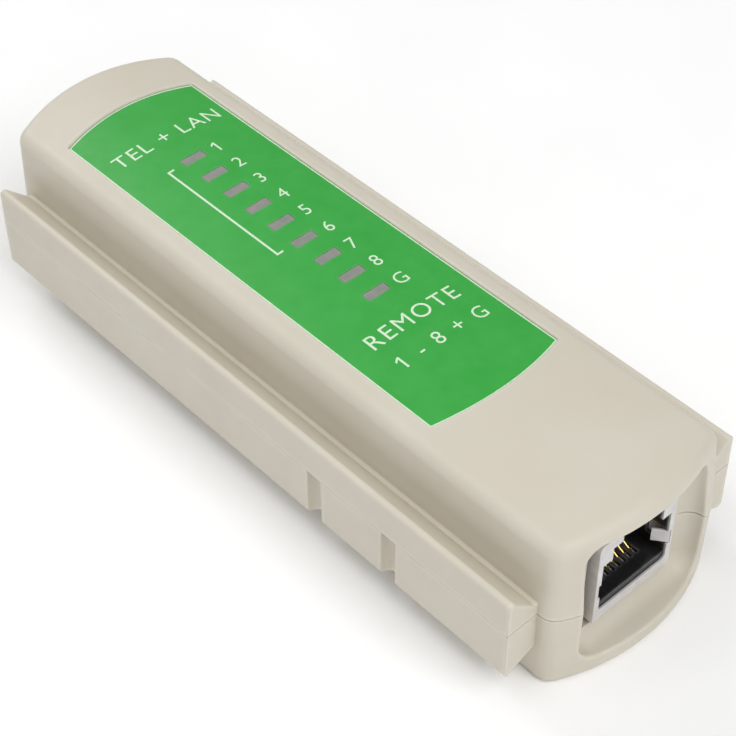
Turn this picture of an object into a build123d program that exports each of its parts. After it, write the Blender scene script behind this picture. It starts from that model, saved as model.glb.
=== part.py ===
"""Far-end unit of a network cable tester: two moulded shells with dovetail rails,
a printed face label, nine indicator lamps and one shielded eight-way jack.

Lengths are in mm.  +X runs along the case towards the jack, +Y across the case,
+Z up through the label.  The origin is on the underside, at the centre of the case.
"""

import os

from build123d import *

os.makedirs("parts", exist_ok=True)

# ---------------------------------------------------------------- case
case_height = 25.0
near_corner = 51.7           # X of the upright corners beside the jack
near_bow = 3.9               # how far the bowed end stands past them
far_corner = 52.1            # the same for the far end
far_bow = 3.5
half_width = 14.6            # at the joint between the shells
corner_round = 2.4
crown_radius = 77.0          # the top is arched from side to side
joint_z = 12.5               # the shells meet here
top_narrower = 0.6           # how far each side leans in, from the joint to the top
top_shorter = 0.65           # the same for the near end, at its corners
near_end_flatter = 0.6       # and the near end's bow is this much less at the top
draft_bottom = 0.9
top_round = 2.0
bottom_round = 1.0
wall = 2.0
roof = 2.4
floor_thickness = 2.0
floor_inset = 0.3            # the lower cavity is this much smaller all round
near_wall_inside = 49.0      # inner face of the wall behind the jack recess
wall_tongue = 0.9            # thickness of the tongue along that wall
seam_gap = 0.15
tongue_outside = 1.0         # how far the tongue's outer face is inside the case
tongue_depth = 1.2
fit_gap = 0.05
overlap = 1.0                # how far a solid or a cut reaches into what it joins

# ---------------------------------------------------------------- rails
rail_half_length = 49.8
rail_lip = 19.4              # half width over the lips
rail_mid = 19.5              # half width at the joint
rail_foot = 19.55            # half width at the lower edge
rail_lip_z = 17.6
rail_lip_width = 0.85
rail_ledge_z = 14.4          # bottom of the groove between lip and case
rail_ledge_width = 0.55
rail_foot_z = 4.4
rail_root_z = 6.6            # where the underside of the rail meets the case
rail_edge_round = 0.55
flute_radius = 1.25
flute_x = (16.55, 29.95)

# ---------------------------------------------------------------- label
label_far = -44.0
label_near = 28.1
label_half_width = 10.9
label_bow = 1.7
label_thickness = 0.4
label_sunk = 0.35            # label face below the case face
label_gap = 0.05
label_corner = 0.5
label_rim_round = 0.2        # on the case, round the label

# ---------------------------------------------------------------- lamps
lamp_count = 9
lamp_first_x = -29.9
lamp_pitch = 4.6
lamp_long = 3.6
lamp_short = 1.5
lamp_top = 24.6
lamp_bottom = 17.4
lamp_foot_height = 1.0
lamp_foot = 0.5
window_gap = 0.05
lead_size = 0.5
lead_pitch = 2.54
lead_tip_z = 2.8

# ---------------------------------------------------------------- recess in the near end
recess_floor_x = 50.9
recess_half_width = 10.6
recess_bottom = 2.9
recess_top = 22.7
recess_corner = 2.8
recess_cove = 2.5
rim_round = 0.3

# ---------------------------------------------------------------- board
board_top = 5.6
board_thickness = 1.6
board_far = -46.0
board_near = 48.6
board_half_width = 11.4
board_gap = 0.3
resistor_y = 7.0
resistor_width = 1.25
resistor_length = 2.0
resistor_height = 0.5
lead_hole_radius = 0.45
tail_hole_radius = 0.35
rib_thickness = 1.2
rib_x = (-36.0, -13.8, 14.0, 29.0)

# ---------------------------------------------------------------- screws
screw_x = 42.5
screw_y = 10.15
screw_radius = 1.0
screw_head_radius = 1.8
screw_head_height = 1.3
screw_seat_z = 1.8
screw_length = 8.0
post_radius = 2.05           # on the top shell
boss_radius = 2.9            # on the bottom shell
boss_web = 1.5
pilot_depth = 8.0
post_top = 22.2
screw_head_round = 0.5
cross_length = 2.2
cross_width = 0.45
cross_depth = 0.6
counterbore_radius = 2.0

# ---------------------------------------------------------------- jack
jack_face_x = 51.85
jack_depth = 21.0
jack_half_width = 6.8
jack_top = 19.4
jack_gap = 1.05
sheet = 0.3
port_half_width = 5.95
port_bottom = 7.2
port_shoulder = 15.6
step_half_width = 4.4
step_top = 17.6
key_half_width = 2.8
key_top = 18.7
port_floor = 8.2             # floor of the plastic cavity
port_back_x = 37.4
key_back_x = 42.0
port_corner = 0.8
sheet_bend = 0.8

contact_count = 8
contact_pitch = 1.02
contact_radius = 0.2
contact_root = (48.3, 7.6)   # X, Z of the bend each spring flexes about
contact_knee = (40.6, 12.3)
contact_tip = (39.2, 12.5)
root_gap = 0.3
tail_run_z = 6.35
tail_front_x = 49.15
tail_rows = (34.2, 36.74)
tail_bend = 0.4
tail_slot_top = 6.9
slot_width = 0.56
slot_front_x = 49.45
slot_back_x = 43.8
contact_bend = 1.2
contact_heel_radius = 0.25
contact_heel_width = 0.5

finger_height = 2.1
finger_z = 9.9
finger_sheet = 0.25
finger_root = (51.7, 6.3)    # X, Y of the fold each side finger flexes about
finger_tip = (50.0, 5.05)
finger_gap = 0.15
pocket_half_width = 7.0
pocket_back_x = 48.6

peg_radius = 1.6
peg_x = 41.0
peg_y = 4.7
peg_tip_z = 2.9
tab_x = 36.0
tab_width = 1.5
tab_gap = 0.1
tab_tip_z = 2.7

beyond = near_corner + 2 * near_bow  # a distance past either end of the case
crown_z = case_height - crown_radius
lamp_x = [lamp_first_x + lamp_pitch * i for i in range(lamp_count)]
contact_y = [contact_pitch * (i - (contact_count - 1) / 2) for i in range(contact_count)]
screw_points = [(sx * screw_x, sy * screw_y) for sx in (-1, 1) for sy in (-1, 1)]
pocket_radius = crown_radius - label_sunk - label_thickness
post_bottom = screw_seat_z + boss_web + fit_gap
tab_y = jack_half_width - sheet / 2


def case_face(inset=0.0, shorter=0.0, narrower=0.0, flatter=0.0):
    """Plan of the case: straight sides, bowed ends, shrunk all round by inset."""
    far = inset - far_corner
    near = near_corner - inset - shorter
    width = half_width - inset - narrower
    with BuildSketch() as sketch:
        with BuildLine():
            Line((far, -width), (near, -width))
            ThreePointArc((near, -width), (near + near_bow - flatter, 0), (near, width))
            Line((near, width), (far, width))
            ThreePointArc((far, width), (far - far_bow, 0), (far, -width))
        make_face()
        fillet(sketch.vertices(), corner_round)
    return sketch.sketch


def cavity_face(inset, near):
    """Plan of the case shrunk all round by inset, and cut off square at X = near."""
    with BuildSketch() as sketch:
        add(case_face(inset))
        with Locations((near - beyond, 0)):
            Rectangle(2 * beyond, 4 * half_width, mode=Mode.INTERSECT)
    return sketch.sketch


def label_face(inset=0.0):
    """Plan of the label, and of its pocket: straight sides and bowed ends."""
    far = label_far + inset
    near = label_near - inset
    width = label_half_width - inset
    with BuildSketch() as sketch:
        with BuildLine():
            Line((far, -width), (near, -width))
            ThreePointArc((near, -width), (near + label_bow, 0), (near, width))
            Line((near, width), (far, width))
            ThreePointArc((far, width), (far - label_bow, 0), (far, -width))
        make_face()
        fillet(sketch.vertices(), label_corner)
    return sketch.sketch


def port_face():
    """Opening for a plug: a rectangle, and above it a two-step way for the latch."""
    points = [
        (-port_half_width, port_bottom),
        (port_half_width, port_bottom),
        (port_half_width, port_shoulder),
        (step_half_width, port_shoulder),
        (step_half_width, step_top),
        (key_half_width, step_top),
        (key_half_width, key_top),
        (-key_half_width, key_top),
        (-key_half_width, step_top),
        (-step_half_width, step_top),
        (-step_half_width, port_shoulder),
        (-port_half_width, port_shoulder),
    ]
    with BuildSketch() as sketch:
        with BuildLine():
            Polyline(*points, close=True)
        make_face()
        fillet(sketch.vertices().group_by(Axis.Y)[0], port_corner)
    return sketch.sketch


def square_to_x(x):
    """A plane across the case at x, drawn on as (Y, Z)."""
    return Plane(origin=(x, 0, 0), x_dir=(0, 1, 0), z_dir=(1, 0, 0))


def on_rim(edge):
    """Whether an edge of the near end face runs round the recess."""
    centre = edge.center()
    beside = abs(centre.Y) < recess_half_width + seam_gap
    level = recess_bottom - seam_gap < centre.Z < recess_top + seam_gap
    return beside and level and abs(centre.Z - joint_z) > 2 * seam_gap


def round_label(edge):
    """Whether an edge lies on the crown and runs round the label's pocket."""
    centre = edge.center()
    height = Vector(0, centre.Y, centre.Z - crown_z).length
    along = label_far - 2 * label_bow < centre.X < label_near + 2 * label_bow
    beside = abs(centre.Y) < label_half_width + label_gap
    return along and beside and height > pocket_radius + label_thickness


# ---------------------------------------------------------------- shared cutters

with BuildPart() as recess:
    with BuildSketch(square_to_x(recess_floor_x)):
        with Locations((0, (recess_bottom + recess_top) / 2)):
            RectangleRounded(2 * recess_half_width, recess_top - recess_bottom, recess_corner)
    extrude(amount=beyond - recess_floor_x)
    fillet(recess.faces().sort_by(Axis.X)[0].edges(), recess_cove)

with BuildPart() as jack_hole:
    with BuildSketch(square_to_x(near_wall_inside - overlap)):
        with Locations((0, (board_top + jack_top) / 2)):
            Rectangle(2 * (jack_half_width + jack_gap), jack_top - board_top + 2 * jack_gap)
    extrude(amount=recess_floor_x - near_wall_inside + 2 * overlap)

with BuildPart() as top_core:
    with BuildSketch(Plane.XY.offset(joint_z)):
        add(cavity_face(wall, near_wall_inside))
    extrude(amount=case_height)
    with Locations((0, 0, crown_z)):
        Cylinder(crown_radius - roof, 4 * beyond, rotation=(0, 90, 0), mode=Mode.INTERSECT)

with BuildPart() as bottom_core:
    with BuildSketch(Plane.XY.offset(floor_thickness)):
        add(cavity_face(wall + floor_inset, near_wall_inside))
    extrude(amount=joint_z - floor_thickness)

with BuildPart() as label_pocket:
    with BuildSketch(Plane.XY.offset(joint_z)):
        add(label_face())
    extrude(amount=case_height)
    with Locations((0, 0, crown_z)):
        Cylinder(pocket_radius, 4 * beyond, rotation=(0, 90, 0), mode=Mode.SUBTRACT)

# ---------------------------------------------------------------- top shell

with BuildPart() as top_shell:
    with BuildSketch(Plane.XY.offset(joint_z)):
        add(case_face())
    with BuildSketch(Plane.XY.offset(case_height)):
        add(case_face(0.0, top_shorter, top_narrower, near_end_flatter))
    loft(ruled=True)
    with Locations((0, 0, crown_z)):
        Cylinder(crown_radius, 4 * beyond, rotation=(0, 90, 0), mode=Mode.INTERSECT)
    crown_face = top_shell.faces().filter_by(GeomType.CYLINDER).sort_by(Axis.Z)[-1]
    fillet(crown_face.edges(), top_round)

    # upper half of each rail: an outer face, a rounded lip, a slope and a narrow ledge
    for side in (-1, 1):
        with BuildSketch(square_to_x(-rail_half_length)) as rail_top:
            with BuildLine():
                Polyline(
                    (side * (half_width - overlap), joint_z),
                    (side * rail_mid, joint_z),
                    (side * rail_lip, rail_lip_z),
                    (side * (rail_lip - rail_lip_width), rail_lip_z),
                    (side * (half_width + rail_ledge_width), rail_ledge_z),
                    (side * (half_width - overlap), rail_ledge_z),
                    close=True,
                )
            make_face()
            fillet(rail_top.vertices().group_by(Axis.Y)[-1], rail_edge_round)
        extrude(amount=2 * rail_half_length)

    add(top_core.part, mode=Mode.SUBTRACT)

    # tongue round the cavity, that stands down inside the bottom shell
    with BuildSketch(Plane.XY.offset(joint_z - tongue_depth)):
        add(cavity_face(tongue_outside, near_wall_inside + wall_tongue))
        add(cavity_face(wall, near_wall_inside), mode=Mode.SUBTRACT)
    extrude(amount=tongue_depth)

    # posts that take the screws
    with BuildSketch(Plane.XY.offset(post_bottom)):
        with Locations(*screw_points):
            Circle(post_radius)
    extrude(amount=post_top - post_bottom)
    with BuildSketch(Plane.XY.offset(post_bottom)):
        with Locations(*screw_points):
            Circle(screw_radius)
    extrude(amount=pilot_depth, mode=Mode.SUBTRACT)

    add(recess.part, mode=Mode.SUBTRACT)
    add(jack_hole.part, mode=Mode.SUBTRACT)
    add(label_pocket.part, mode=Mode.SUBTRACT)

    # lamp windows
    with BuildSketch(Plane.XY.offset(joint_z)):
        with Locations(*[(x, 0) for x in lamp_x]):
            Rectangle(lamp_short + 2 * window_gap, lamp_long + 2 * window_gap)
    extrude(amount=case_height, mode=Mode.SUBTRACT)

    # rounded rims of the recess and of the label's pocket
    fillet(top_shell.faces().sort_by(Axis.X)[-1].edges().filter_by(on_rim), rim_round)
    fillet(top_shell.edges().filter_by(round_label), label_rim_round)

top_shell.part.label = "top_shell"
export_step(top_shell.part, "parts/top_shell.step")

# ---------------------------------------------------------------- bottom shell

with BuildPart() as bottom_shell:
    with BuildSketch(Plane.XY.offset(joint_z)):
        add(case_face())
    extrude(amount=-joint_z, taper=draft_bottom)
    fillet(bottom_shell.faces().sort_by(Axis.Z)[0].edges(), bottom_round)

    # lower half of each rail: an outer face and a slope up to the case
    for side in (-1, 1):
        with BuildSketch(square_to_x(-rail_half_length)) as rail_bottom:
            with BuildLine():
                Polyline(
                    (side * (half_width - overlap), joint_z),
                    (side * rail_mid, joint_z),
                    (side * rail_foot, rail_foot_z),
                    (side * half_width, rail_root_z),
                    (side * (half_width - overlap), rail_root_z),
                    close=True,
                )
            make_face()
            fillet(rail_bottom.vertices().group_by(Axis.Y)[0], rail_edge_round)
        extrude(amount=2 * rail_half_length)

    # upright flutes in the rails' outer faces
    with BuildSketch(Plane.XY.offset(joint_z)):
        with Locations(*[(x, side * rail_mid) for x in flute_x for side in (-1, 1)]):
            Circle(flute_radius)
    extrude(amount=-joint_z, mode=Mode.SUBTRACT)

    # shadow line where the shells meet, round the ends
    with BuildSketch(Plane.XY.offset(joint_z)):
        add(case_face())
        Rectangle(2 * rail_half_length, 2 * rail_mid)
        add(case_face(seam_gap), mode=Mode.SUBTRACT)
        Rectangle(2 * (rail_half_length - seam_gap), 2 * rail_mid, mode=Mode.SUBTRACT)
    extrude(amount=-seam_gap, mode=Mode.SUBTRACT)

    add(bottom_core.part, mode=Mode.SUBTRACT)

    # rebate for the tongue
    with BuildSketch(Plane.XY.offset(joint_z)):
        add(cavity_face(tongue_outside - fit_gap, near_wall_inside + wall_tongue + fit_gap))
        add(cavity_face(wall + fit_gap, near_wall_inside - fit_gap), mode=Mode.SUBTRACT)
    extrude(amount=-tongue_depth - fit_gap, mode=Mode.SUBTRACT)

    # sockets for the screws
    with BuildSketch(Plane.XY):
        with Locations(*screw_points):
            Circle(boss_radius)
    extrude(amount=post_bottom - fit_gap)
    with BuildSketch(Plane.XY):
        with Locations(*screw_points):
            Circle(counterbore_radius)
    extrude(amount=screw_seat_z, mode=Mode.SUBTRACT)
    with BuildSketch(Plane.XY.offset(screw_seat_z)):
        with Locations(*screw_points):
            Circle(screw_radius + fit_gap)
    extrude(amount=boss_web, mode=Mode.SUBTRACT)

    # ribs under the board
    with BuildSketch(Plane.XY.offset(floor_thickness)):
        with Locations(*[(x, 0) for x in rib_x]):
            Rectangle(rib_thickness, 2 * (half_width - wall - floor_inset))
    extrude(amount=board_top - board_thickness - floor_thickness)

    add(recess.part, mode=Mode.SUBTRACT)
    add(jack_hole.part, mode=Mode.SUBTRACT)

    # the same shadow line inside the recess
    with BuildSketch(square_to_x(recess_floor_x - seam_gap)):
        with Locations((0, joint_z)):
            Rectangle(
                2 * (recess_half_width + seam_gap), seam_gap, align=(Align.CENTER, Align.MAX)
            )
    extrude(amount=beyond - recess_floor_x, mode=Mode.SUBTRACT)

    # rounded rim of the recess
    fillet(bottom_shell.faces().sort_by(Axis.X)[-1].edges().filter_by(on_rim), rim_round)

bottom_shell.part.label = "bottom_shell"
export_step(bottom_shell.part, "parts/bottom_shell.step")

# ---------------------------------------------------------------- label

with BuildPart() as face_label:
    with BuildSketch(Plane.XY.offset(joint_z)):
        add(label_face(label_gap))
    extrude(amount=case_height)
    with Locations((0, 0, crown_z)):
        Cylinder(
            pocket_radius + label_thickness,
            4 * beyond,
            rotation=(0, 90, 0),
            mode=Mode.INTERSECT,
        )
    with Locations((0, 0, crown_z)):
        Cylinder(pocket_radius, 4 * beyond, rotation=(0, 90, 0), mode=Mode.SUBTRACT)
    with BuildSketch(Plane.XY.offset(joint_z)):
        with Locations(*[(x, 0) for x in lamp_x]):
            Rectangle(lamp_short + 2 * window_gap, lamp_long + 2 * window_gap)
    extrude(amount=case_height, mode=Mode.SUBTRACT)

face_label.part.label = "face_label"
export_step(face_label.part, "parts/face_label.step")

# ---------------------------------------------------------------- lamps

for index, x in enumerate(lamp_x):
    with BuildPart() as lamp:
        with BuildSketch(Plane.XY.offset(lamp_bottom)):
            with Locations((x, 0)):
                RectangleRounded(lamp_short + lamp_foot, lamp_long + lamp_foot, lamp_foot)
        extrude(amount=lamp_foot_height)
        with BuildSketch(Plane.XY.offset(lamp_bottom + lamp_foot_height)):
            with Locations((x, 0)):
                Rectangle(lamp_short, lamp_long)
        extrude(amount=lamp_top - lamp_bottom - lamp_foot_height)
    lamp_name = f"lamp_{index + 1}" if index < lamp_count - 1 else "lamp_g"
    lamp.part.label = lamp_name
    export_step(lamp.part, f"parts/{lamp_name}.step")

lead_points = [(x, side * lead_pitch / 2) for x in lamp_x for side in (-1, 1)]

with BuildPart() as lamp_leads:
    with BuildSketch(Plane.XY.offset(lead_tip_z)):
        with Locations(*lead_points):
            Rectangle(lead_size, lead_size)
    extrude(amount=lamp_bottom - lead_tip_z)

lamp_leads.part.label = "lamp_leads"
export_step(lamp_leads.part, "parts/lamp_leads.step")

# ---------------------------------------------------------------- board

tail_points = [
    (tail_rows[index % len(tail_rows)], y) for index, y in enumerate(contact_y)
]
resistor_points = [(x, resistor_y) for x in lamp_x[:-1]]

with BuildPart() as circuit_board:
    with BuildSketch(Plane.XY.offset(board_top - board_thickness)):
        with Locations(((board_far + board_near) / 2, 0)):
            Rectangle(board_near - board_far, 2 * board_half_width)
        with Locations(*screw_points):
            Circle(post_radius + board_gap, mode=Mode.SUBTRACT)
        with Locations(*lead_points):
            Circle(lead_hole_radius, mode=Mode.SUBTRACT)
        with Locations(*tail_points):
            Circle(tail_hole_radius, mode=Mode.SUBTRACT)
        with Locations((peg_x, -peg_y), (peg_x, peg_y)):
            Circle(peg_radius + fit_gap, mode=Mode.SUBTRACT)
        with Locations((tab_x, -tab_y), (tab_x, tab_y)):
            Rectangle(tab_width + 2 * tab_gap, sheet + 2 * tab_gap, mode=Mode.SUBTRACT)
    extrude(amount=board_thickness)

circuit_board.part.label = "circuit_board"
export_step(circuit_board.part, "parts/circuit_board.step")

with BuildPart() as resistors:
    with BuildSketch(Plane.XY.offset(board_top)):
        with Locations(*resistor_points):
            Rectangle(resistor_width, resistor_length)
    extrude(amount=resistor_height)

resistors.part.label = "resistors"
export_step(resistors.part, "parts/resistors.step")

# ---------------------------------------------------------------- jack shield

with BuildPart() as jack_shield:
    with BuildSketch(square_to_x(jack_face_x - jack_depth)):
        with Locations((0, (board_top + jack_top) / 2)):
            Rectangle(2 * jack_half_width, jack_top - board_top)
    extrude(amount=jack_depth)
    upright = jack_shield.edges().filter_by(Axis.X).group_by(Axis.Z)[-1]
    fillet(upright, sheet_bend)
    with BuildSketch(square_to_x(jack_face_x - jack_depth + sheet)):
        with Locations((0, board_top - overlap)):
            Rectangle(
                2 * (jack_half_width - sheet),
                jack_top - board_top - sheet + overlap,
                align=(Align.CENTER, Align.MIN),
            )
    extrude(amount=jack_depth - 2 * sheet, mode=Mode.SUBTRACT)
    with BuildSketch(square_to_x(jack_face_x - 2 * sheet)):
        add(port_face())
    extrude(amount=3 * sheet, mode=Mode.SUBTRACT)
    # slots in the front that the fingers are folded back from
    with BuildSketch(square_to_x(jack_face_x - 2 * sheet)):
        with Locations((0, finger_z + finger_height / 2)):
            Rectangle(2 * (jack_half_width - sheet), finger_height + 2 * finger_gap)
    extrude(amount=3 * sheet, mode=Mode.SUBTRACT)
    # tabs through the board
    with BuildSketch(Plane.XY.offset(tab_tip_z)):
        with Locations((tab_x, -tab_y), (tab_x, tab_y)):
            Rectangle(tab_width, sheet)
    extrude(amount=board_top + overlap - tab_tip_z)

jack_shield.part.label = "jack_shield"
export_step(jack_shield.part, "parts/jack_shield.step")

# ---------------------------------------------------------------- side fingers of the shield

for name, side in (("shield_finger_left", -1), ("shield_finger_right", 1)):
    with BuildPart() as finger:
        with BuildSketch(Plane.XY.offset(finger_z)):
            with BuildLine():
                Line(
                    (finger_root[0], side * finger_root[1]),
                    (finger_tip[0], side * finger_tip[1]),
                )
            trace(line_width=finger_sheet)
            with Locations((finger_root[0], side * finger_root[1])):
                Circle(finger_sheet / 2)
        extrude(amount=finger_height)
    finger.part.label = name
    export_step(finger.part, f"parts/{name}.step")

# ---------------------------------------------------------------- jack insert

insert_front = jack_face_x - sheet - fit_gap
insert_back = jack_face_x - jack_depth + sheet + fit_gap
insert_half_width = jack_half_width - sheet - fit_gap
insert_top = jack_top - sheet - fit_gap

with BuildPart() as jack_insert:
    with BuildSketch(square_to_x(insert_back)):
        with Locations((0, board_top)):
            Rectangle(
                2 * insert_half_width,
                insert_top - board_top,
                align=(Align.CENTER, Align.MIN),
            )
    extrude(amount=insert_front - insert_back)
    # cavity for the plug
    with BuildSketch(square_to_x(port_back_x)):
        with Locations((0, port_floor)):
            Rectangle(
                2 * port_half_width,
                port_shoulder - port_floor,
                align=(Align.CENTER, Align.MIN),
            )
    extrude(amount=beyond - port_back_x, mode=Mode.SUBTRACT)
    # way for the latch
    with BuildSketch(square_to_x(key_back_x)):
        with Locations((0, port_shoulder)):
            Rectangle(
                2 * step_half_width, step_top - port_shoulder, align=(Align.CENTER, Align.MIN)
            )
        with Locations((0, step_top)):
            Rectangle(2 * key_half_width, key_top - step_top, align=(Align.CENTER, Align.MIN))
    extrude(amount=beyond - key_back_x, mode=Mode.SUBTRACT)
    # pockets that the side fingers bend into
    with BuildSketch(square_to_x(pocket_back_x)):
        with Locations((0, finger_z + finger_height / 2)):
            Rectangle(2 * pocket_half_width, finger_height + 4 * finger_gap)
    extrude(amount=beyond - pocket_back_x, mode=Mode.SUBTRACT)
    # slots for the contacts: low ones for the tails, and open ones where they come up
    with BuildSketch(Plane.XY.offset(board_top)):
        for x, y in tail_points:
            with Locations(((x + tail_front_x) / 2, y)):
                Rectangle(tail_front_x - x + 3 * contact_radius, slot_width)
    extrude(amount=tail_slot_top - board_top, mode=Mode.SUBTRACT)
    with BuildSketch(Plane.XY.offset(board_top)):
        for y in contact_y:
            with Locations(((slot_front_x + slot_back_x) / 2, y)):
                Rectangle(slot_front_x - slot_back_x, slot_width)
    extrude(amount=port_shoulder - board_top, mode=Mode.SUBTRACT)
    # pegs through the board
    with BuildSketch(Plane.XY.offset(peg_tip_z)):
        with Locations((peg_x, -peg_y), (peg_x, peg_y)):
            Circle(peg_radius)
    extrude(amount=board_top - peg_tip_z)

jack_insert.part.label = "jack_insert"
export_step(jack_insert.part, "parts/jack_insert.step")

# ---------------------------------------------------------------- contacts

for index, y in enumerate(contact_y):
    with BuildPart() as contact:
        with BuildLine(Plane.XZ.offset(-y)) as spring:
            FilletPolyline(contact_root, contact_knee, contact_tip, radius=contact_bend)
        with BuildSketch(Plane(origin=spring.line @ 0, z_dir=spring.line % 0)):
            Circle(contact_radius)
        sweep()
        # rounded heel that the spring flexes about
        with BuildSketch(Plane.XZ.offset(-y - contact_heel_width / 2)):
            with Locations(contact_root):
                Circle(contact_heel_radius)
        extrude(amount=contact_heel_width)
    contact.part.label = f"contact_{index + 1}"
    export_step(contact.part, f"parts/contact_{index + 1}.step")

with BuildPart() as contact_tails:
    for x, y in tail_points:
        with BuildLine(Plane.XZ.offset(-y)) as tail:
            FilletPolyline(
                (x, lead_tip_z),
                (x, tail_run_z),
                (tail_front_x, tail_run_z),
                (tail_front_x, contact_root[1]),
                (contact_root[0] + root_gap, contact_root[1]),
                radius=tail_bend,
            )
        with BuildSketch(Plane(origin=tail.line @ 0, z_dir=tail.line % 0)):
            Circle(contact_radius)
        sweep(path=tail.line)

contact_tails.part.label = "contact_tails"
export_step(contact_tails.part, "parts/contact_tails.step")

# ---------------------------------------------------------------- screws

with BuildPart() as shell_screws:
    with BuildSketch(Plane.XY.offset(screw_seat_z - screw_head_height)):
        with Locations(*screw_points):
            Circle(screw_head_radius)
    extrude(amount=screw_head_height)
    fillet(shell_screws.faces().group_by(Axis.Z)[0].edges(), screw_head_round)
    with BuildSketch(Plane.XY.offset(screw_seat_z)):
        with Locations(*screw_points):
            Circle(screw_radius)
    extrude(amount=screw_length)
    with BuildSketch(Plane.XY.offset(screw_seat_z - screw_head_height)):
        with Locations(*screw_points):
            Rectangle(cross_length, cross_width)
            Rectangle(cross_width, cross_length)
    extrude(amount=cross_depth, mode=Mode.SUBTRACT)

shell_screws.part.label = "shell_screws"
export_step(shell_screws.part, "parts/shell_screws.step")
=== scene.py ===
"""Looks of the network cable tester's far-end unit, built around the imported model.

Lengths are in metres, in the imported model's frame: +X along the case to the jack,
+Y across it, +Z up through the label.
"""

import math

import bmesh
import bpy
from mathutils import Matrix, Vector


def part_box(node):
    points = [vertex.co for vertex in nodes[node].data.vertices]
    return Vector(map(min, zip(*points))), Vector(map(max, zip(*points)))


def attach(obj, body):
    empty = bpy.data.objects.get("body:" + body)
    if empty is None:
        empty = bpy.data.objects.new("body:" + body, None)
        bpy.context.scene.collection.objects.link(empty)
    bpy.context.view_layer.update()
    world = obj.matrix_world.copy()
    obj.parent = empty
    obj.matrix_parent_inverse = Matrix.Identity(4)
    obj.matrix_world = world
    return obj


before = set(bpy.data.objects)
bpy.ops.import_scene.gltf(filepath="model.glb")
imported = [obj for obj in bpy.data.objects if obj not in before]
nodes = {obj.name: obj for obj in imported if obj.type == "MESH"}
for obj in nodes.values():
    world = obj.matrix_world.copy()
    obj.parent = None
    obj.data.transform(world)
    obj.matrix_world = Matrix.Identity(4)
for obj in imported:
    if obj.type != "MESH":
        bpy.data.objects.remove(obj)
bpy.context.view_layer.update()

MM = 0.001

# ---------------------------------------------------------------- camera

CAMERA_PLACE = Vector((0.132088, -0.114721, 0.181009))
CAMERA_TURN = math.radians(47.89)       # left of +Y, seen from above
CAMERA_DOWN = math.radians(45.035)
CAMERA_ROLL = math.radians(-0.626)
CAMERA_LENS = 89.5                      # mm
CAMERA_SENSOR = 36                      # mm wide
CAMERA_NEAREST = 0.01
CAMERA_FARTHEST = 20

forward = Vector((
    -math.sin(CAMERA_TURN) * math.cos(CAMERA_DOWN),
    math.cos(CAMERA_TURN) * math.cos(CAMERA_DOWN),
    -math.sin(CAMERA_DOWN),
))
level = Vector((math.cos(CAMERA_TURN), math.sin(CAMERA_TURN), 0))
upward = level.cross(forward)
right = math.cos(CAMERA_ROLL) * level + math.sin(CAMERA_ROLL) * upward
up = math.cos(CAMERA_ROLL) * upward - math.sin(CAMERA_ROLL) * level

camera_data = bpy.data.cameras.new("camera")
camera_data.lens = CAMERA_LENS
camera_data.sensor_width = CAMERA_SENSOR
camera_data.clip_start = CAMERA_NEAREST
camera_data.clip_end = CAMERA_FARTHEST
camera = bpy.data.objects.new("camera", camera_data)
bpy.context.scene.collection.objects.link(camera)
camera.matrix_world = Matrix((
    (right.x, up.x, -forward.x, CAMERA_PLACE.x),
    (right.y, up.y, -forward.y, CAMERA_PLACE.y),
    (right.z, up.z, -forward.z, CAMERA_PLACE.z),
    (0, 0, 0, 1),
))
bpy.context.scene.camera = camera

# ---------------------------------------------------------------- studio

SKY_STRENGTH = 0.36
LIGHT_WIDTH = 0.5
LIGHTS = (
    # name, place, watts
    ("light_above", (0.48, 0, 0.62), 2.8),
    ("light_near_end", (0.62, 0.3, 0.48), 0.3),
    ("light_corner", (0.48, -0.5, 0.42), 0.5),
    ("light_beside", (-0.1, -0.4, 0.72), 1.35),
    ("light_far_end", (-0.7, 0, 0.5), 2.3),
)

bpy.context.scene.view_settings.view_transform = "Standard"
world = bpy.data.worlds.new("studio")
world.use_nodes = True
sky = world.node_tree.nodes["Background"]
sky.inputs["Color"].default_value = (1, 1, 1, 1)
sky.inputs["Strength"].default_value = SKY_STRENGTH
bpy.context.scene.world = world

# square area lights that face the object
for name, place, watts in LIGHTS:
    light_data = bpy.data.lights.new(name, "AREA")
    light_data.size = LIGHT_WIDTH
    light_data.energy = watts
    light = bpy.data.objects.new(name, light_data)
    bpy.context.scene.collection.objects.link(light)
    light.location = place
    light.rotation_mode = "QUATERNION"
    light.rotation_quaternion = (-Vector(place)).to_track_quat("-Z", "Y")

# ---------------------------------------------------------------- materials

NOISE_LOW = 0.3                         # nearly all of a noise's values lie between these
NOISE_HIGH = 0.7
SURFACE_SAMPLES = 6                     # of the nodes that feel the surface round a point
OPEN = 0.95                             # openness of a nearly flat spot
ENCLOSED = 0.5                          # openness of a sharp edge or a deep corner
PATCH_HIGH = 0.65                       # noise value at which a patch has its full strength
PATCH_FAINT = 0.35                      # share of the full strength between patches


def screen(red, green, blue, light=1.0):
    """The shader's linear colour for 0 to 255 screen values seen under that much light."""
    linear = []
    for value in (red, green, blue):
        value /= 255
        value = value / 12.92 if value <= 0.04045 else ((value + 0.055) / 1.055) ** 2.4
        linear.append(min(value / light, 1.0))
    return (*linear, 1)


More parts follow.
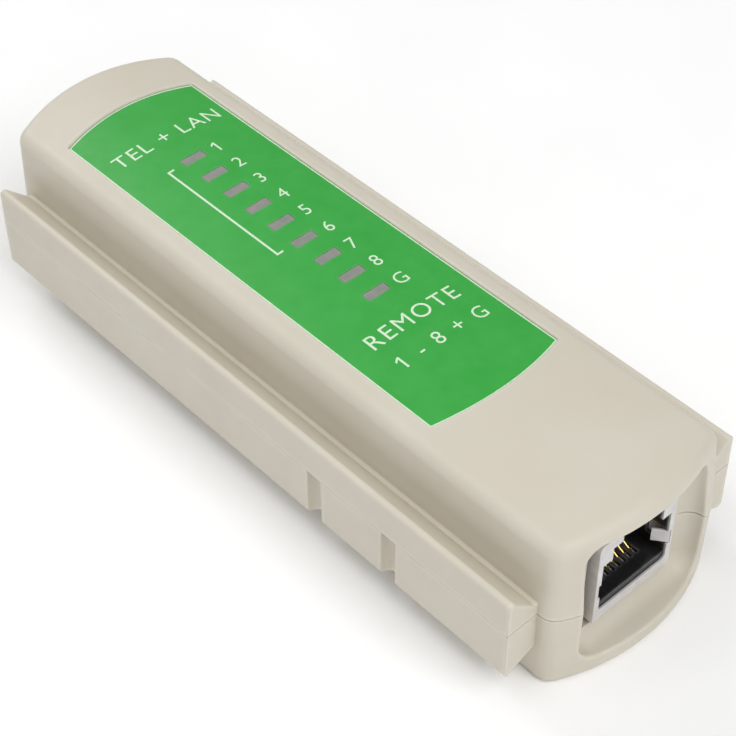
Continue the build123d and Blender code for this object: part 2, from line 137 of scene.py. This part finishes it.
class Shader:
    """A material made of nodes, with short ways to add what most of them need."""

    def __init__(self, name, metallic=0.0):
        self.material = bpy.data.materials.new(name)
        self.material.use_nodes = True
        self.nodes = self.material.node_tree.nodes
        self.links = self.material.node_tree.links
        self.surface = self.nodes["Principled BSDF"]
        self.surface.inputs["Metallic"].default_value = metallic
        self.place = self.nodes.new("ShaderNodeTexCoord").outputs["Object"]

    def noise(self, size, detail=2.0, rough=0.5, stretch=(1, 1, 1)):
        """Noise whose blotches are about size metres across, and longer where stretch is < 1."""
        mapping = self.nodes.new("ShaderNodeMapping")
        mapping.inputs["Scale"].default_value = stretch
        self.links.new(self.place, mapping.inputs["Vector"])
        noise = self.nodes.new("ShaderNodeTexNoise")
        noise.inputs["Scale"].default_value = 1 / size
        noise.inputs["Detail"].default_value = detail
        noise.inputs["Roughness"].default_value = rough
        self.links.new(mapping.outputs["Vector"], noise.inputs["Vector"])
        return noise.outputs["Fac"]

    def between(self, value, low, high, low_to, high_to):
        """value, taken from low..high to low_to..high_to."""
        turn = self.nodes.new("ShaderNodeMapRange")
        turn.inputs["From Min"].default_value = low
        turn.inputs["From Max"].default_value = high
        turn.inputs["To Min"].default_value = low_to
        turn.inputs["To Max"].default_value = high_to
        self.links.new(value, turn.inputs["Value"])
        return turn.outputs["Result"]

    def tint(self, noise, first, second):
        """Base colour that varies from first to second with noise."""
        ramp = self.nodes.new("ShaderNodeValToRGB")
        stops = ramp.color_ramp.elements
        stops[0].position, stops[0].color = NOISE_LOW, first
        stops[1].position, stops[1].color = NOISE_HIGH, second
        self.links.new(noise, ramp.inputs["Fac"])
        self.links.new(ramp.outputs["Color"], self.surface.inputs["Base Color"])

    def shine(self, noise, low, high):
        """Roughness that varies from low to high with noise."""
        varied = self.between(noise, NOISE_LOW, NOISE_HIGH, low, high)
        self.links.new(varied, self.surface.inputs["Roughness"])

    def over(self, factor, colour, roughness):
        """Turns the colour and roughness, which tint and shine have set, to these by factor."""
        grey = (roughness, roughness, roughness, 1)
        for name, target in (("Base Color", colour), ("Roughness", grey)):
            socket = self.surface.inputs[name]
            mix = self.nodes.new("ShaderNodeMixRGB")
            mix.inputs["Color2"].default_value = target
            self.links.new(factor, mix.inputs["Fac"])
            self.links.new(socket.links[0].from_socket, mix.inputs["Color1"])
            self.links.new(mix.outputs["Color"], socket)

    def close_to(self, what, distance, most, patches):
        """Up to most on what ("edges" or "corners"), in patches that wide, 0 past distance."""
        probe = self.nodes.new("ShaderNodeAmbientOcclusion")
        probe.samples = SURFACE_SAMPLES
        probe.inside = what == "edges"
        probe.inputs["Distance"].default_value = distance
        near = self.between(probe.outputs["AO"], OPEN, ENCLOSED, 0.0, 1.0)
        patchy = self.noise(patches, detail=3, rough=0.6)
        strength = self.between(patchy, NOISE_LOW, PATCH_HIGH, PATCH_FAINT * most, most)
        product = self.nodes.new("ShaderNodeMath")
        product.operation = "MULTIPLY"
        self.links.new(near, product.inputs[0])
        self.links.new(strength, product.inputs[1])
        return product.outputs["Value"]

    def relief(self, *layers, soften=0.0):
        """Bumps given as (height value, depth in metres), on edges softened by a radius."""
        normal = None
        if soften:
            bevel = self.nodes.new("ShaderNodeBevel")
            bevel.samples = SURFACE_SAMPLES
            bevel.inputs["Radius"].default_value = soften
            normal = bevel.outputs["Normal"]
        for value, depth in layers:
            bump = self.nodes.new("ShaderNodeBump")
            bump.inputs["Distance"].default_value = depth
            self.links.new(value, bump.inputs["Height"])
            if normal is not None:
                self.links.new(normal, bump.inputs["Normal"])
            normal = bump.outputs["Normal"]
        self.links.new(normal, self.surface.inputs["Normal"])


LIGHT = 1.1                             # on the top of the case, as a share of full white

case = Shader("case_plastic")
case.tint(
    case.noise(14 * MM, detail=3),
    screen(212, 205, 189, LIGHT),
    screen(216, 210, 195, LIGHT),
)
case.shine(case.noise(3 * MM, detail=2), low=0.42, high=0.56)
# painted shade: darker, rougher colour in corners and creases, where less light reaches
case.over(
    case.close_to("corners", 1.2 * MM, most=0.2, patches=6 * MM),
    screen(186, 176, 154, LIGHT),
    roughness=0.6,
)
# painted highlight: lighter, glossier colour along sharp edges, where they catch the light
case.over(
    case.close_to("edges", 0.7 * MM, most=0.7, patches=4 * MM),
    screen(229, 225, 208, LIGHT),
    roughness=0.34,
)
case.relief(
    (case.noise(0.25 * MM, detail=2), 0.012 * MM),
    (case.noise(9 * MM, detail=1), 0.05 * MM),
    soften=0.25 * MM,
)

film = Shader("label_film")
film.tint(
    film.noise(4 * MM, detail=4, rough=0.6),
    screen(47, 168, 60, LIGHT),
    screen(58, 174, 70, LIGHT),
)
film.shine(film.noise(1.2 * MM, detail=2), low=0.36, high=0.48)
film.over(
    film.close_to("edges", 0.2 * MM, most=0.5, patches=2 * MM),
    screen(150, 206, 150, LIGHT),
    roughness=0.5,
)
film.relief((film.noise(0.18 * MM, detail=2), 0.006 * MM), soften=0.1 * MM)

ink = Shader("label_ink")
ink.tint(
    ink.noise(0.5 * MM, detail=2),
    screen(208, 238, 202, LIGHT),
    screen(232, 248, 226, LIGHT),
)
ink.shine(ink.noise(0.3 * MM, detail=2), low=0.38, high=0.56)
ink.relief((ink.noise(0.12 * MM, detail=2), 0.004 * MM))

lens = Shader("lamp_lens")
lens.tint(
    lens.noise(1.1 * MM, detail=2),
    screen(134, 144, 132, LIGHT),
    screen(156, 148, 148, LIGHT),
)
lens.shine(lens.noise(0.8 * MM, detail=2), low=0.28, high=0.42)
lens.over(
    lens.close_to("edges", 0.3 * MM, most=0.6, patches=1 * MM),
    screen(132, 164, 132, LIGHT),
    roughness=0.4,
)
lens.relief((lens.noise(0.3 * MM, detail=2), 0.01 * MM), soften=0.15 * MM)

tin = Shader("shield_tin", metallic=0.35)
tin.tint(
    tin.noise(1.5 * MM, detail=3, rough=0.6),
    screen(208, 206, 205),
    screen(224, 222, 222),
)
tin.shine(tin.noise(0.6 * MM, detail=3, stretch=(0.2, 1, 1)), low=0.36, high=0.52)
# painted highlight: lighter, glossier colour along sharp edges
tin.over(
    tin.close_to("edges", 0.1 * MM, most=0.5, patches=0.8 * MM),
    screen(236, 235, 236),
    roughness=0.3,
)
tin.relief(
    (tin.noise(0.2 * MM, detail=2, stretch=(0.15, 1, 1)), 0.006 * MM),
    soften=0.12 * MM,
)

black = Shader("insert_black")
black.tint(black.noise(0.8 * MM, detail=3), screen(24, 23, 24), screen(36, 35, 36))
black.shine(black.noise(0.5 * MM, detail=2), low=0.3, high=0.45)
# painted highlight: light grey, glossier colour along sharp edges of the black plastic
black.over(
    black.close_to("edges", 0.3 * MM, most=0.8, patches=1.2 * MM),
    screen(122, 120, 120),
    roughness=0.3,
)
black.relief((black.noise(0.25 * MM, detail=2), 0.01 * MM), soften=0.15 * MM)

gold = Shader("contact_gold", metallic=1.0)
gold.tint(gold.noise(0.8 * MM, detail=2), screen(222, 176, 88), screen(240, 204, 124))
gold.shine(gold.noise(0.3 * MM, detail=2, stretch=(0.2, 1, 1)), low=0.18, high=0.34)
# painted highlight: paler, glossier gold along sharp edges
gold.over(
    gold.close_to("edges", 0.1 * MM, most=0.3, patches=0.6 * MM),
    screen(244, 220, 160),
    roughness=0.16,
)
gold.relief((gold.noise(0.6 * MM, detail=2, stretch=(0.2, 1, 1)), 0.003 * MM))

laminate = Shader("board_laminate")
laminate.tint(
    laminate.noise(0.7 * MM, detail=4, rough=0.7),
    screen(150, 122, 72),
    screen(178, 152, 100),
)
laminate.shine(laminate.noise(0.5 * MM, detail=3), low=0.5, high=0.7)
laminate.over(
    laminate.close_to("edges", 0.3 * MM, most=0.6, patches=1.5 * MM),
    screen(196, 176, 130),
    roughness=0.75,
)
laminate.relief((laminate.noise(0.4 * MM, detail=2), 0.01 * MM))

chip = Shader("resistor_chip")
chip.tint(chip.noise(0.4 * MM, detail=2), screen(28, 28, 32), screen(44, 44, 48))
chip.shine(chip.noise(0.3 * MM, detail=2), low=0.32, high=0.5)
chip.over(
    chip.close_to("edges", 0.15 * MM, most=0.6, patches=0.6 * MM),
    screen(96, 96, 98),
    roughness=0.4,
)
chip.relief((chip.noise(0.15 * MM, detail=2), 0.004 * MM), soften=0.08 * MM)

steel = Shader("screw_steel", metallic=1.0)
steel.tint(steel.noise(0.7 * MM, detail=3), screen(178, 175, 168), screen(206, 204, 198))
steel.shine(steel.noise(0.4 * MM, detail=3), low=0.26, high=0.42)
# painted highlight: lighter, glossier steel along sharp edges
steel.over(
    steel.close_to("edges", 0.25 * MM, most=0.6, patches=0.8 * MM),
    screen(222, 221, 218),
    roughness=0.2,
)
steel.relief((steel.noise(0.2 * MM, detail=2), 0.006 * MM), soften=0.15 * MM)

FINISHES = {
    "top_shell": case,
    "bottom_shell": case,
    "face_label": film,
    "lamp_leads": tin,
    "contact_tails": tin,
    "circuit_board": laminate,
    "resistors": chip,
    "jack_shield": tin,
    "shield_finger_left": tin,
    "shield_finger_right": tin,
    "jack_insert": black,
    "shell_screws": steel,
}


def dress(mesh, shader):
    """Gives mesh that one material."""
    mesh.materials.clear()
    mesh.materials.append(shader.material)


for name, node in nodes.items():
    if name in FINISHES:
        dress(node.data, FINISHES[name])
    elif name.startswith("lamp_"):      # one of the nine lamps
        dress(node.data, lens)
    else:                               # one of the eight contact springs
        dress(node.data, gold)

# ---------------------------------------------------------------- floor

FLOOR_DROP = 0.02 * MM                  # the floor is this much below the case
FLOOR_REACH = 3                         # from the middle to each side

paper = Shader("floor_paper")
paper.surface.inputs["Roughness"].default_value = 0.85
paper.surface.inputs["Specular IOR Level"].default_value = 0.2
paper.tint(paper.noise(30 * MM), screen(250, 250, 250), screen(253, 253, 253))
floor_mesh = bpy.data.meshes.new("floor")
floor_sides = ((-1, -1), (1, -1), (1, 1), (-1, 1))
floor_corners = [(x * FLOOR_REACH, y * FLOOR_REACH, -FLOOR_DROP) for x, y in floor_sides]
floor_mesh.from_pydata(floor_corners, [], [(0, 1, 2, 3)])
dress(floor_mesh, paper)
floor = bpy.data.objects.new("floor", floor_mesh)
bpy.context.scene.collection.objects.link(floor)

# ---------------------------------------------------------------- printing on the label

CROWN_RADIUS = 76.65 * MM               # of the label's face, across the case
INK_HEIGHT = 0.02 * MM                  # above the label's face
INK_THICKNESS = 1.5 * INK_HEIGHT        # so the ink's foot lies inside the label
CURVE_STEPS = 4                         # in each curve of a letter
STROKE_OFFSET = -0.004                  # slightly lighter strokes, in font units
LEAST_GROWTH = 0.01                     # below this, spacing doesn't widen the text

# flag of a figure one, as shares of the figure's height
FLAG_THICK = 0.17                       # where it leaves the stroke
FLAG_REACH = 0.25                       # to the left of the stroke
FLAG_TIP_TOP = 0.22                     # from the top of the figure
FLAG_TIP_FOOT = 0.36

label_low, label_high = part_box("face_label")
crown_centre = label_high.z - CROWN_RADIUS


def face_height(y):
    """Height of the label's face at a distance y from the middle."""
    return crown_centre + math.sqrt(CROWN_RADIUS ** 2 - y ** 2)


def glyphs(text, spacing):
    """Points and faces of a line of text in the built-in face, in font units."""
    curve = bpy.data.curves.new("text", "FONT")
    curve.body = text
    curve.space_character = spacing
    curve.resolution_u = CURVE_STEPS
    curve.offset = STROKE_OFFSET
    carrier = bpy.data.objects.new("text", curve)
    bpy.context.scene.collection.objects.link(carrier)
    found = bpy.context.evaluated_depsgraph_get()
    mesh = bpy.data.meshes.new_from_object(carrier.evaluated_get(found))
    bpy.data.objects.remove(carrier)
    bpy.data.curves.remove(curve)
    points = [(v.co.x, v.co.y) for v in mesh.vertices]
    faces = [tuple(p.vertices) for p in mesh.polygons]
    bpy.data.meshes.remove(mesh)
    return points, faces


def span(points, axis):
    """Lowest and highest of the points along one axis."""
    values = [p[axis] for p in points]
    return min(values), max(values)


def one_flag(points, faces, left):
    """Adds the flag of a figure one to its plain stroke, whose left edge is at left."""
    low, high = span(points, 1)
    tall = high - low
    first = len(points)
    points.extend([
        (left, high),
        (left, high - FLAG_THICK * tall),
        (left - FLAG_REACH * tall, high - FLAG_TIP_FOOT * tall),
        (left - FLAG_REACH * tall, high - FLAG_TIP_TOP * tall),
    ])
    faces.append((first, first + 3, first + 2, first + 1))


def print_line(ink_mesh, text, x, start, end, cap):
    """Prints text from y=start to y=end, cap high, with its middle at x and its top to -X."""
    # the letter spacing that makes it fill that length, worked out from two trials
    widths = []
    for spacing in (1.0, 2.0):
        points, faces = glyphs(text, spacing)
        low, high = span(points, 0)
        tall_low, tall_high = span(points, 1)
        widths.append((high - low) / (tall_high - tall_low))
    wanted = (end - start) / cap
    growth = widths[1] - widths[0]
    spacing = 1.0 + (wanted - widths[0]) / growth if growth > LEAST_GROWTH else 1.0
    points, faces = glyphs(text, spacing)
    low, high = span(points, 0)
    tall_low, tall_high = span(points, 1)
    if text.startswith("1"):
        one_flag(points, faces, low)
    scale = cap / (tall_high - tall_low)
    middle = (low + high) / 2
    tall_middle = (tall_low + tall_high) / 2
    placed = []
    for across, tall in points:
        y = (start + end) / 2 + (across - middle) * scale
        placed.append((x - (tall - tall_middle) * scale, y))
    print_faces(ink_mesh, placed, faces)


def print_faces(ink_mesh, placed, faces):
    """Adds faces given on (x, y) to the ink, lying on the label's curved face."""
    corners = [ink_mesh.verts.new((x, y, face_height(y) + INK_HEIGHT)) for x, y in placed]
    for face in faces:
        ink_mesh.faces.new([corners[i] for i in face])


LINES = (
    # text, middle in x, start and end in y, height of a capital, all in millimetres
    ("TEL + LAN", -36.3, -8.6, 9.2, 2.4),
    ("REMOTE", 13.2, -7.1, 7.7, 2.5),
    ("1 - 8 + G", 18.2, -6.2, 8.0, 2.2),
)
LAMP_FIRST = -29.9 * MM
LAMP_PITCH = 4.6 * MM
DIGIT_SHIFT = 0.1 * MM                  # of a lamp's figure from the lamp's middle
DIGIT_START = 3.1 * MM
DIGIT_END = 5.0 * MM
DIGIT_CAP = 2.1 * MM

ink_mesh = bmesh.new()
for text, x, start, end, cap in LINES:
    print_line(ink_mesh, text, x * MM, start * MM, end * MM, cap * MM)
for place, digit in enumerate("12345678G"):
    x = LAMP_FIRST + LAMP_PITCH * place + DIGIT_SHIFT
    print_line(ink_mesh, digit, x, DIGIT_START, DIGIT_END, DIGIT_CAP)

# bracket beside the first six lamps
BRACKET_Y = -4.6 * MM
BRACKET_FROM = -29.9 * MM
BRACKET_TO = -6.9 * MM
BRACKET_TICK = 1.1 * MM                 # length of its two ends
BRACKET_LINE = 0.3 * MM                 # width of its line
bracket = [
    (BRACKET_FROM, BRACKET_Y),
    (BRACKET_TO, BRACKET_Y),
    (BRACKET_TO, BRACKET_Y + BRACKET_TICK),
    (BRACKET_TO - BRACKET_LINE, BRACKET_Y + BRACKET_TICK),
    (BRACKET_TO - BRACKET_LINE, BRACKET_Y + BRACKET_LINE),
    (BRACKET_FROM + BRACKET_LINE, BRACKET_Y + BRACKET_LINE),
    (BRACKET_FROM + BRACKET_LINE, BRACKET_Y + BRACKET_TICK),
    (BRACKET_FROM, BRACKET_Y + BRACKET_TICK),
]
print_faces(ink_mesh, bracket, [(0, 1, 4, 5), (1, 2, 3, 4), (0, 5, 6, 7)])

# pale margin round the label
BORDER_INSET = 0.02 * MM
BORDER_LINE = 0.2 * MM
BORDER_STEPS = 24                       # along each curved end
BOW = 1.7 * MM                          # of the label's curved ends


def outline(inset):
    """Points round the label, that far inside its edge."""
    width = label_high.y - inset
    ends = [(label_high.x - inset, 1), (label_low.x + inset, -1)]
    points = []
    for tip, side in ends:
        for step in range(BORDER_STEPS + 1):
            across = side * (2 * step / BORDER_STEPS - 1)
            points.append((tip - side * BOW * across ** 2, across * width))
    return points


outer = outline(BORDER_INSET)
inner = outline(BORDER_INSET + BORDER_LINE)
count = len(outer)
ring = [(i, (i + 1) % count, count + (i + 1) % count, count + i) for i in range(count)]
print_faces(ink_mesh, outer + inner, ring)

# the ink has a thickness
skirt = bmesh.ops.extrude_face_region(ink_mesh, geom=ink_mesh.faces[:])
for corner in (g for g in skirt["geom"] if isinstance(g, bmesh.types.BMVert)):
    corner.co.z -= INK_THICKNESS
bmesh.ops.recalc_face_normals(ink_mesh, faces=ink_mesh.faces[:])

print_mesh = bpy.data.meshes.new("label_print")
ink_mesh.to_mesh(print_mesh)
ink_mesh.free()
dress(print_mesh, ink)
label_print = bpy.data.objects.new("label_print", print_mesh)
bpy.context.scene.collection.objects.link(label_print)
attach(label_print, "case")
